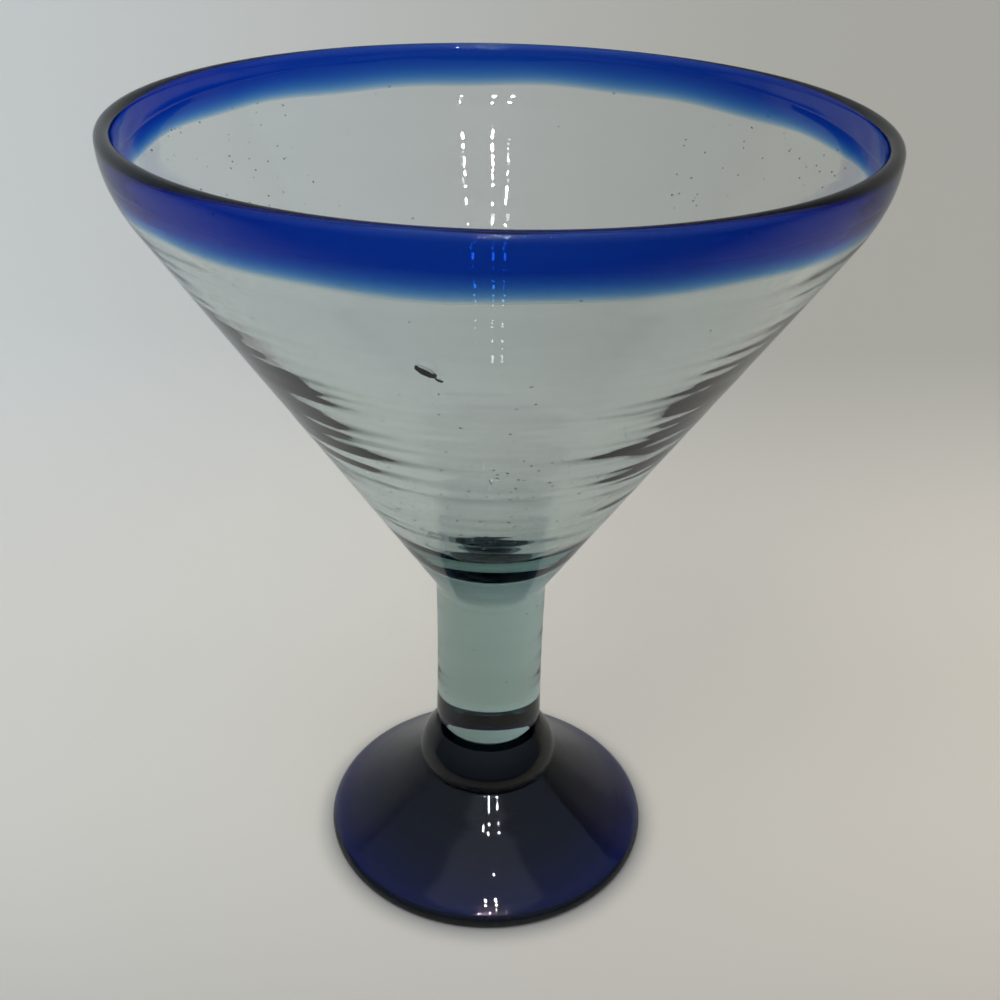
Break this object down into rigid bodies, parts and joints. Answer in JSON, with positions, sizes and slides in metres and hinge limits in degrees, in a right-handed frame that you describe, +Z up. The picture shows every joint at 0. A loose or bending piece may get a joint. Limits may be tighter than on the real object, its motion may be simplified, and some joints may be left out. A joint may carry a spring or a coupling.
{
  "type": "margarita glass",
  "caption": "Hand-blown margarita glass: a wide cone bowl with a cobalt lip, a thick pale stem and a cobalt collar and foot.",
  "frame": {"origin": "centre of the foot, on the surface that the glass stands on", "axes": "+Z up along the glass's axis, from the foot to the lip"},
  "size_m": [0.1424, 0.1424, 0.17],
  "materials": {
    "pale_glass": "gloss, pale grey-green recycled glass with seeds",
    "cobalt_lip": "gloss, see-through cobalt glass that fades out downwards",
    "cobalt_foot": "gloss, cobalt glass thick enough to look nearly black"
  },
  "bodies": {
    "root": {"foot": "cobalt_foot", "foot_collar": "cobalt_foot", "stem": "pale_glass", "bowl": "pale_glass", "lip_wrap": "cobalt_lip"}
  },
  "joints": []
}
